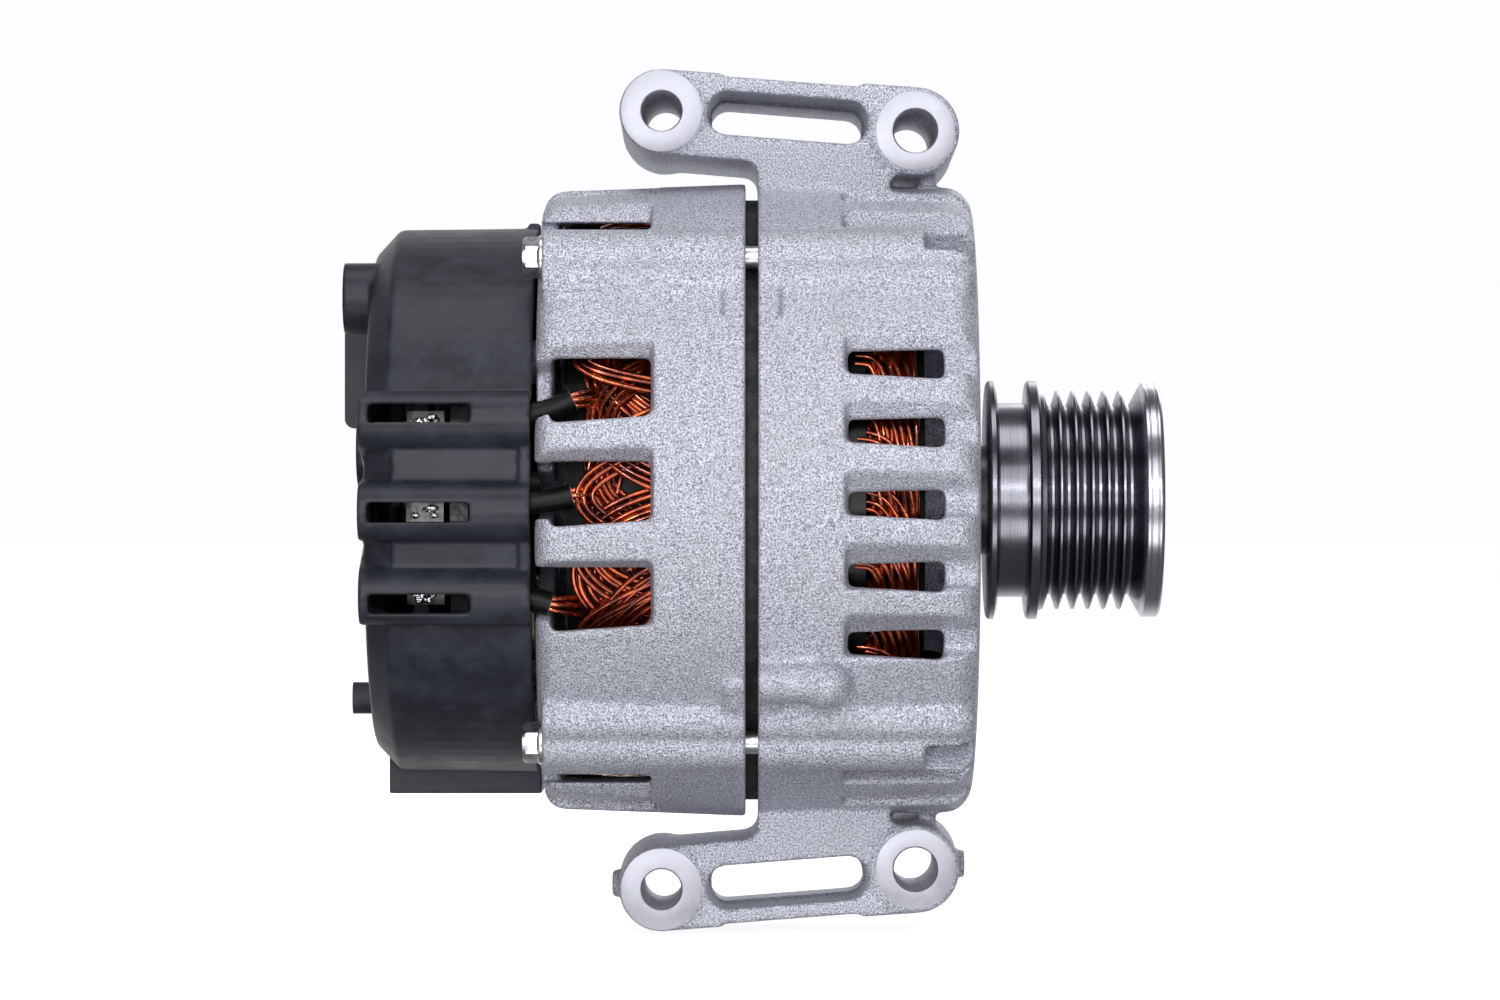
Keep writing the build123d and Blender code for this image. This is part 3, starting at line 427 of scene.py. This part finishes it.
def merged(obj):
    """Welds double vertices of a piece, as at the ends of a turned solid, and turns its faces outwards."""
    distance = 1e-7
    bm = bmesh.new()
    bm.from_mesh(obj.data)
    bmesh.ops.remove_doubles(bm, verts=bm.verts, dist=distance)
    bmesh.ops.dissolve_degenerate(bm, edges=bm.edges, dist=distance)
    bmesh.ops.recalc_face_normals(bm, faces=bm.faces)
    bm.to_mesh(obj.data)
    bm.free()
    return obj


def joined(parts):
    """One list of vertices and faces from several."""
    vertices, faces = [], []
    for more_vertices, more_faces in parts:
        offset = len(vertices)
        vertices += list(more_vertices)
        faces += [tuple(i + offset for i in face) for face in more_faces]
    return vertices, faces


def tubes(paths, radius, sides=8):
    """Round wires closed at both ends, along paths that never head straight out from the X axis."""
    parts = []
    for path in paths:
        p = np.asarray(path, float)
        t = np.gradient(p, axis=0)
        t /= np.linalg.norm(t, axis=1)[:, None]
        out = p * (0, 1, 1)
        n = out - (out * t).sum(1)[:, None] * t
        n /= np.linalg.norm(n, axis=1)[:, None]
        b = np.cross(t, n)
        rings = [p + radius * (cos(tau * k / sides) * n + sin(tau * k / sides) * b) for k in range(sides)]
        vertices = np.stack(rings, axis=1).reshape(-1, 3)
        faces = []
        for i in range(len(p) - 1):
            for k in range(sides):
                m = (k + 1) % sides
                faces.append((i * sides + k, i * sides + m, (i + 1) * sides + m, (i + 1) * sides + k))
        last = (len(p) - 1) * sides
        faces.append(tuple(reversed(range(sides))))
        faces.append(tuple(range(last, last + sides)))
        parts.append(([tuple(v) for v in vertices], faces))
    return joined(parts)


# ---------------------------------------------------------------- castings
cast_skin("front_casting", "front_housing", 0.6 * MM, 8, 0.45, "cast_aluminium")
cast_skin("rear_casting", "rear_housing", 0.6 * MM, 8, 0.45, "cast_aluminium")


def lug_faces():
    """Machined rings round both mouths of each lug bore."""
    parts = []
    proud = 0.06 * MM
    for mount in frame["record"]["mounts"]:
        if mount["kind"] != "bore":
            continue
        x, y, z = mount["pos_m"]
        bore = mount["dims"]["r_mm"] * MM
        half = mount["dims"]["length_mm"] * MM / 2
        outer = bore + (4.75 * MM if x < 0 else 4.1 * MM)
        for side in (-1, 1):
            face = y + side * half
            # outline in (distance out of the face, radius), with a small chamfer at each edge
            outline = [(-0.8 * MM, bore), (-0.8 * MM, outer), (proud * 0.2, outer),
                       (proud, outer - 0.15 * MM), (proud, bore + 0.3 * MM), (-0.2 * MM, bore)]
            vertices, faces = lathe(outline, 96)
            parts.append(([(x + v[1], face + side * v[0], z + v[2]) for v in vertices], faces))
    return merged(mesh_piece("lug_faces", *joined(parts), smooth_deg=25))


finish_piece(lug_faces(), "machined_aluminium", "stator_side", "cast_aluminium")


# ---------------------------------------------------------------- rear cover
cast_skin("rear_cover_shell", "rear_cover", 0.5 * MM, 5, 0.5, "black_plastic")


# ---------------------------------------------------------------- windings
WIRE_R = 0.66 * MM


def coil_head(rng, start_deg, span, reach, strands, pitch, outer_r, inner_r, root_x, direction, flat, slant):
    """Strands that leave a slot, arch over side by side and go back into another slot.
    span is the arc's width round the stator and reach its height along X, both in metres. flat is the
    power of the sine that shapes the arch: the lower it is, the flatter the top."""
    mean_r = (outer_r + inner_r) / 2
    steps = 34
    t = 0.5 - 0.5 * np.cos(np.linspace(0.04, pi - 0.04, steps))
    u = span * (t - 0.5)
    v = abs(reach) * np.sin(pi * t) ** flat + slant * (t - 0.5)
    du, dv = np.gradient(u), np.gradient(v)
    length = np.hypot(du, dv)
    paths = []
    for k in range(strands):
        inset = (k - (strands - 1) / 2) * pitch + rng.uniform(-0.12, 0.12) * pitch
        wave = rng.uniform(0.1, 0.5) * MM
        phase = rng.uniform(0, tau)
        across = u - inset * dv / length + wave * np.sin(5 * t + phase)
        along = v + inset * du / length + wave * np.cos(4 * t + phase)
        lift = outer_r + (inner_r - outer_r) * (3 * t * t - 2 * t ** 3)
        lift = lift - rng.uniform(0, 0.9) * MM - 0.6 * MM * np.cos(pi * t + phase) ** 2
        angle = radians(start_deg) + direction * across / mean_r
        x = root_x + np.sign(reach) * np.maximum(along, -1.0 * MM)
        paths.append(np.stack([x, -lift * np.cos(angle), lift * np.sin(angle)], axis=1))
    return paths


def windings(node, name, layers, seed):
    """Coil heads in layers from the inside out, over a core ring that stands for the inner layers and is
    coloured near black as painted shade in the gaps between them.
    """
    low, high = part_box(node)
    rear = abs(low.x) > abs(high.x)
    root_x, tip_x = (high.x, low.x) if rear else (low.x, high.x)
    outer = high.z
    sign = -1 if rear else 1
    rng = random.Random(seed)
    paths = []
    for layer in layers:
        for b in range(layer["count"]):
            start = 360 / layer["count"] * (b + rng.uniform(-0.4, 0.4) * layer["loose"])
            room = abs(tip_x - root_x) - 1.5 * WIRE_R - layer["strands"] / 2 * layer["pitch"]
            reach = sign * room * rng.uniform(1 - 0.22 * layer["loose"], 1.0)
            span = layer["span"] * rng.uniform(1 - 0.45 * layer["loose"], 1 + 0.45 * layer["loose"])
            direction = -1 if rng.random() < layer["reversed"] else 1
            top = outer - WIRE_R - layer["depth"] - rng.uniform(0, 1.2) * MM * layer["loose"]
            paths += coil_head(rng, start, span, reach, layer["strands"], layer["pitch"],
                               top, top - layer["dive"], root_x, direction, layer["flat"],
                               sign * layer["slant"])
    wires = mesh_piece(name + "_wires", *tubes(paths, WIRE_R), smooth_deg=60)
    finish_piece(wires, "enamelled_copper", "stator_side", "enamelled_copper", node)
    core_bore, core_top = outer - 8.5 * MM, outer - 5.6 * MM
    shoulder, tip = tip_x - sign * 6.0 * MM, tip_x - sign * 0.12 * MM
    outline = [(root_x, core_bore), (root_x, core_top), (shoulder, core_top), (tip, core_bore + 1.2 * MM),
               (tip, core_bore)]
    # the core ring stands for the inner layers of the coil heads; its near-black colour is painted shade in
    # the gaps
    core = merged(mesh_piece(name + "_core", *lathe(outline, 180)))
    finish_piece(core, "winding_core_painted_shade", "stator_side", "enamelled_copper")


# count coils of so many strands; depth is how far below the top they start and dive how far they sink on
# their way; loose is how much they differ, and reversed the share that leans the other way
REAR_LAYERS = [
    {"count": 26, "strands": 5, "pitch": 1.42 * MM, "span": 38 * MM, "depth": 3.2 * MM, "dive": 0.8 * MM,
     "flat": 0.4, "slant": 0.0, "loose": 0.9, "reversed": 0.5},
    {"count": 23, "strands": 5, "pitch": 1.5 * MM, "span": 36 * MM, "depth": 0.8 * MM, "dive": 2.4 * MM,
     "flat": 0.5, "slant": 0.0, "loose": 0.9, "reversed": 0.45},
    {"count": 15, "strands": 3, "pitch": 1.6 * MM, "span": 24 * MM, "depth": 0.0, "dive": 1.2 * MM,
     "flat": 0.9, "slant": 4.0 * MM, "loose": 1.0, "reversed": 0.5},
]
FRONT_LAYERS = [
    {"count": 34, "strands": 6, "pitch": 1.75 * MM, "span": 42 * MM, "depth": 0.3 * MM, "dive": 3.4 * MM,
     "flat": 0.1, "slant": 1.0 * MM, "loose": 0.14, "reversed": 1.0},
]
windings("rear_end_winding", "rear_winding", REAR_LAYERS, 7)
windings("front_end_winding", "front_winding", FRONT_LAYERS, 11)


def slot_paper():
    """Dark band of varnished paper round the root of the front coil heads."""
    low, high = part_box("front_end_winding")
    outer = high.z - 0.9 * MM
    inner, root, edge = outer - 5 * MM, low.x + 0.1 * MM, low.x + 11.0 * MM
    outline = [(root, inner), (root, outer), (edge - 1.0 * MM, outer), (edge, outer - 1.4 * MM),
               (edge, inner)]

    def crinkled(angle, x, r):
        return r - 0.5 * MM * (0.5 + 0.5 * sin(48 * angle + 900 * x)) * (r > outer - 2 * MM)

    return merged(mesh_piece("slot_paper", *lathe(outline, 480, crinkled)))


finish_piece(slot_paper(), "varnished_paper", "stator_side", "sleeve_black")


# ---------------------------------------------------------------- phase leads
def pipe(path, outer, inner, sides=32):
    """Hollow tube along a path, with open ends."""
    p = np.asarray(path, float)
    t = np.gradient(p, axis=0)
    t /= np.linalg.norm(t, axis=1)[:, None]
    n = np.cross(t, (0, 1, 0))
    n /= np.linalg.norm(n, axis=1)[:, None]
    b = np.cross(t, n)
    vertices, faces = [], []
    count = len(p)
    for i in list(range(count)) + list(range(count - 1, -1, -1)):
        radius = outer if len(vertices) < count * sides else inner
        for k in range(sides):
            vertices.append(p[i] + radius * (cos(tau * k / sides) * n[i] + sin(tau * k / sides) * b[i]))
    rings = 2 * count
    for i in range(rings):
        for k in range(sides):
            a, c = i * sides, ((i + 1) % rings) * sides
            m = (k + 1) % sides
            faces.append((a + k, a + m, c + m, c + k))
    return vertices, faces


# of the three sleeves, lowest first: how far each climbs towards the coil, and where it ends against the
# end of its straight length
SLEEVE_RISE = (-1.7 * MM, 1.6 * MM, 3.4 * MM)
SLEEVE_END = (-2.8 * MM, 2.0 * MM, 2.2 * MM)
SLEEVE_WALL = 0.55 * MM
BEND_START = 0.4                # share of a sleeve that is straight before its bend
STRAND_RING_R = 1.3 * MM        # six strands stand round a seventh at this radius


def phase_leads():
    """Black sleeves that bend a little on their way to the coil, and the strands that leave them."""
    rng = random.Random(3)
    sleeves, rims, strands = [], [], []
    coil_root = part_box("rear_end_winding")[1].x
    for (low, high), rise, reach in zip(solids_of("phase_lead_sleeves"), SLEEVE_RISE, SLEEVE_END):
        centre = (low + high) / 2
        outer = (high.z - low.z) / 2
        inner = outer - SLEEVE_WALL
        start, stop = low.x, high.x + reach
        path = []
        for i in range(24):
            u = i / 23
            path.append((start + (stop - start) * u, centre.y + 0.4 * MM * u * u,
                         centre.z + rise * (max(0.0, u - BEND_START) / (1 - BEND_START)) ** 2))
        sleeves.append(pipe(path, outer, inner))
        tip = Vector(path[-1])
        ahead = (tip - Vector(path[-2])).normalized()
        rims.append(pipe([tip - ahead * 0.2 * MM, tip + ahead * 0.12 * MM], outer * 0.97, inner * 1.02))
        for k in range(7):
            spin = tau * k / 6
            ring = 0.0 if k == 6 else STRAND_RING_R
            y, z = ring * cos(spin), ring * sin(spin)
            spread = (1.0 + rng.uniform(0.2, 1.2)) if k < 6 else 1.0
            line = [Vector(q) + Vector((0, y, z)) for q in path[4:]]
            for step in range(1, 7):
                grow = 1 + (spread - 1) * step / 6
                line.append(tip + Vector((step * 1.1 * MM, y * grow + step * step * 0.16 * MM,
                                          z * grow + rise * step * 0.05)))
            strands.append([v for v in line if v.x < coil_root])
    sleeve = merged(mesh_piece("phase_sleeves", *joined(sleeves)))
    finish_piece(sleeve, "sleeve_black", "stator_side", "sleeve_black", "phase_lead_sleeves")
    rim = merged(mesh_piece("phase_sleeve_rims", *joined(rims)))
    finish_piece(rim, "cut_rubber", "stator_side", "sleeve_black")
    wires = mesh_piece("phase_strands", *tubes(strands, WIRE_R), smooth_deg=60)
    finish_piece(wires, "enamelled_copper", "stator_side", "enamelled_copper", "phase_lead_wires")


phase_leads()


# ---------------------------------------------------------------- fasteners
def hexagon(across_flats):
    """Radius of a hexagon at an angle, never more than the radius given at that height."""

    def shape(angle, x, r):
        turn = (angle + pi / 6) % (pi / 3) - pi / 6
        return min(r, across_flats / 2 / cos(turn))

    return shape


def through_bolts():
    """Bolts with a dished hexagon head, a rounded flange and a chamfered tip."""
    parts = []
    flats, shank = 8.0 * MM, 2.5 * MM
    corner = flats / sqrt(3)
    for low, high in solids_of("through_bolts"):
        y, z = (low.y + high.y) / 2, (low.z + high.z) / 2
        flange = (high.z - low.z) / 2
        head, seat = low.x, low.x + 4.4 * MM
        parts.append(lathe([(head + 0.5 * MM, 0), (head + 0.5 * MM, corner * 0.55), (head, corner * 0.66),
                            (head, corner * 0.86), (head + 0.75 * MM, corner), (seat - 0.9 * MM, corner),
                            (seat - 0.9 * MM, 0)], 96, hexagon(flats), (y, z)))
        parts.append(lathe([(seat - 1.25 * MM, 0), (seat - 1.25 * MM, flange * 0.84),
                            (seat - 0.8 * MM, flange * 0.97), (seat - 0.4 * MM, flange),
                            (seat - 0.02 * MM, flange * 0.99), (seat - 0.02 * MM, 0)], 64, None, (y, z)))
        parts.append(lathe([(seat - 0.5 * MM, 0), (seat - 0.5 * MM, shank), (high.x - 0.8 * MM, shank),
                            (high.x, shank - 0.8 * MM), (high.x, 0)], 40, None, (y, z)))
    return merged(mesh_piece("through_bolt_set", *joined(parts), smooth_deg=28))


finish_piece(through_bolts(), "zinc_steel", "stator_side", "zinc_steel", "through_bolts")


# ---------------------------------------------------------------- brush springs
def brush_springs():
    """Coil springs behind the carbons."""
    wire, turns, steps = 0.32 * MM, 6, 24
    for side in ("outer", "inner"):
        node, joint = "brush_spring_" + side, side + "_brush_slide"
        low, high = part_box(node)
        centre = (low + high) / 2
        radius = (high.x - low.x) / 2 - wire - 0.02 * MM
        bottom, rise = low.z + wire, high.z - low.z - 2 * wire
        path = []
        for i in range(turns * steps + 1):
            u = i / (turns * steps)
            turn = tau * turns * u
            path.append((centre.x + radius * cos(turn), centre.y + radius * sin(turn), bottom + rise * u))
        spring = mesh_piece("brush_coil_" + side, *tubes([path], wire), smooth_deg=60)
        finish_piece(spring, "spring_steel", "stator_side", "spring_steel", node)
        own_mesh(spring)


brush_springs()


# ---------------------------------------------------------------- CAD nodes that stay
def dress_cad_nodes():
    """Gives each CAD node that no piece has replaced the material of its slot."""
    slots = {part["node"]: part["material_slot"] for part in frame["record"]["subparts"]}
    for name, node in NODES.items():
        if node.hide_render:
            continue
        node.data.materials.clear()
        node.data.materials.append(LOOKS[slots[name]])


dress_cad_nodes()


# ---------------------------------------------------------------- phase terminals
def box_mesh(low, high):
    """Closed box between two corners."""
    corners = [(x, y, z) for x in (low[0], high[0]) for y in (low[1], high[1]) for z in (low[2], high[2])]
    faces = [(0, 1, 3, 2), (4, 6, 7, 5), (0, 4, 5, 1), (2, 3, 7, 6), (0, 2, 6, 4), (1, 5, 7, 3)]
    return [Vector(c) for c in corners], faces


def lump(rng, centre, size):
    """Irregular drop of solder."""
    blob = bmesh.new()
    bmesh.ops.create_icosphere(blob, subdivisions=3, radius=1.0)
    phases = [rng.uniform(0, tau) for _ in range(3)]
    for vertex in blob.verts:
        ripple = 1 + 0.16 * sin(5 * vertex.co.x + phases[0]) * cos(4 * vertex.co.y + phases[1])
        ripple += 0.10 * sin(7 * vertex.co.z + phases[2])
        vertex.co = Vector(a * b * ripple for a, b in zip(vertex.co, size)) + centre
    index = {v: i for i, v in enumerate(blob.verts)}
    made = ([v.co.copy() for v in blob.verts], [tuple(index[v] for v in f.verts) for f in blob.faces])
    blob.free()
    return made


def phase_terminals():
    """Low tabs on the carrier, each with its soldered joint under the cover's slot."""
    rng = random.Random(5)
    tabs, drops = [], []
    for low, high in solids_of("phase_terminals"):
        middle = (low + high) / 2
        out = Vector((0, middle.y, middle.z)).normalized()
        side = Vector((1, 0, 0)).cross(out)
        inner = min(hypot(low.y, low.z), hypot(high.y, high.z))
        top = 61.6 * MM
        for x0, x1, r0, r1 in ((low.x, low.x + 1.2 * MM, inner, top), (low.x, high.x, top - 0.9 * MM, top)):
            corners, faces = box_mesh((x0, -2.3 * MM, r0), (x1, 2.3 * MM, r1))
            tabs.append(([Vector((c.x, 0, 0)) + side * c.y + out * c.z for c in corners], faces))
        seat = Vector((middle.x, 0, 0)) + out * (top + 0.9 * MM)
        for _ in range(7):
            shift = Vector((rng.uniform(-2.3, 2.3) * MM, 0, 0)) + side * rng.uniform(-0.9, 0.9) * MM
            size = Vector((rng.uniform(0.6, 1.3), rng.uniform(0.5, 0.9), rng.uniform(0.5, 0.9))) * MM
            drops.append(lump(rng, seat + shift + out * rng.uniform(-0.4, 0.8) * MM, size))
    tab = merged(mesh_piece("terminal_tabs", *joined(tabs)))
    # the tabs' dark grey is painted shade inside the cover's slots
    finish_piece(tab, "tin_painted_shade", "stator_side", "tinned_copper", "phase_terminals")
    finish_piece(mesh_piece("solder_drops", *joined(drops), smooth_deg=180), "solder", "stator_side",
                 "tinned_copper")


phase_terminals()


# ---------------------------------------------------------------- pulley
def pulley():
    """Turned pulley with its drum, flanges, six V grooves and the recess of the nut."""
    low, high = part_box("pulley")
    left, right = low.x / MM, high.x / MM
    top = high.z / MM
    bore, drum, groove_top, groove_floor = 8.55, 22.2, 25.0, 21.6
    first_groove, pitch = 68.45, 3.56
    recess, recess_floor = 15.2, 80.0
    outline = [(left, bore), (left, top - 0.6), (left + 0.5, top), (left + 1.6, top), (left + 2.2, 25.4),
               (left + 2.5, drum), (62.8, drum), (63.0, top - 0.6), (63.5, top), (65.4, top), (65.9, 25.3)]
    for k in range(6):
        x = first_groove + pitch * k
        outline += [(x - 1.5, groove_top), (x - 0.35, groove_floor), (x + 0.35, groove_floor),
                    (x + 1.5, groove_top)]
    # the last groove runs up to the foot of the outer flange, which has two fine turned lines
    outline[-1] = (88.7, 25.4)
    outline += [(89.2, 26.3), (89.6, 26.8), (90.3, 26.8), (90.45, 26.62), (90.6, 26.8), (91.9, 26.8),
                (92.05, 26.62), (92.2, 26.8), (92.8, 26.8), (right, 26.2), (right, recess),
                (recess_floor, recess - 0.2), (recess_floor, bore)]
    outline = softened([(x * MM, r * MM) for x, r in outline], 0.07 * MM)
    return merged(mesh_piece("grooved_pulley", *lathe(outline, 200), smooth_deg=24))


finish_piece(pulley(), "pulley_steel", "rotor", "pulley_steel", "pulley")


# ---------------------------------------------------------------- stage, light and camera
def floor():
    """Pale plane under the lowest point, which lights up the background and casts nothing on the object."""
    low = CAD_BOX[0].z
    size = 12.0
    mesh = bpy.data.meshes.new("floor")
    mesh.from_pydata([(-size, -size, low), (size, -size, low), (size, size, low), (-size, size, low)], [],
                     [(0, 1, 2, 3)])
    obj = bpy.data.objects.new("floor", mesh)
    SCENE.collection.objects.link(obj)
    s = Surface("pale_floor", (0.93, 0.93, 0.94), Roughness=0.8, Emission_Color=(1, 1, 1, 1),
                Emission_Strength=0.75)
    s.colour(s.mix(s.noise(3, 2.0), (0.92, 0.92, 0.93), (0.95, 0.95, 0.955)))
    mesh.materials.append(s.material)
    obj.visible_diffuse = False
    obj.visible_glossy = False
    obj.visible_shadow = False


def softbox(name, location, size, power):
    """Rectangular light that faces the object."""
    light = bpy.data.lights.new(name, "AREA")
    light.shape = "RECTANGLE"
    light.size, light.size_y = size
    light.energy = power
    obj = bpy.data.objects.new(name, light)
    obj.location = location
    obj.rotation_mode = "QUATERNION"
    obj.rotation_quaternion = (-Vector(location)).to_track_quat("-Z", "Y")
    SCENE.collection.objects.link(obj)


def studio():
    """White backdrop far behind, a dim room all round, and softboxes in it."""
    world = bpy.data.worlds.new("studio")
    world.use_nodes = True
    tree = world.node_tree
    background = tree.nodes["Background"]
    place = tree.nodes.new("ShaderNodeTexCoord")
    lean = tree.nodes.new("ShaderNodeVectorMath")
    lean.operation = "DOT_PRODUCT"
    lean.inputs[1].default_value = (0.0, 1.0, 0.0)
    fade = tree.nodes.new("ShaderNodeMapRange")
    for key, number in (("From Min", 0.55), ("From Max", 0.9), ("To Min", 0.16), ("To Max", 1.0)):
        fade.inputs[key].default_value = number
    tree.links.new(place.outputs["Generated"], lean.inputs[0])
    tree.links.new(lean.outputs["Value"], fade.inputs["Value"])
    tree.links.new(fade.outputs["Result"], background.inputs["Strength"])
    background.inputs["Color"].default_value = (0.98, 0.99, 1.0, 1)
    SCENE.world = world
    softbox("key", (-0.2, -1.45, 0.62), (1.3, 1.0), 7.0)
    softbox("fill", (1.1, -1.2, 0.1), (0.3, 0.6), 1.6)
    softbox("low_strip", (0.0, -1.5, 0.0), (1.4, 0.16), 4)
    softbox("bounce", (0.0, -1.15, -0.75), (1.4, 0.5), 6)
    softbox("sparkle_left", (-0.35, -1.6, 0.05), (0.12, 0.12), 2.8)
    softbox("sparkle_right", (0.3, -1.55, 0.42), (0.12, 0.12), 3.0)
    softbox("sparkle_top", (-0.25, -1.25, 0.95), (0.14, 0.14), 2.6)
    softbox("overhead", (0.0, -0.2, 1.3), (1.0, 0.7), 6)
    softbox("rear_key", (0.6, 1.5, 0.8), (1.0, 0.7), 4)


def side_camera():
    """Level with the rotor's axis and square to it, near enough for the lug bores to show their length."""
    distance = 1.327
    camera = bpy.data.cameras.new("camera")
    camera.sensor_width = 36.0
    camera.lens = 138.9
    camera.clip_start, camera.clip_end = 0.05, 60.0
    obj = bpy.data.objects.new("camera", camera)
    obj.location = (0.0, -distance, 0.0)
    obj.rotation_euler = (pi / 2, 0, 0)
    SCENE.collection.objects.link(obj)
    SCENE.camera = obj


SCENE.view_settings.view_transform = "Standard"
floor()
studio()
side_camera()
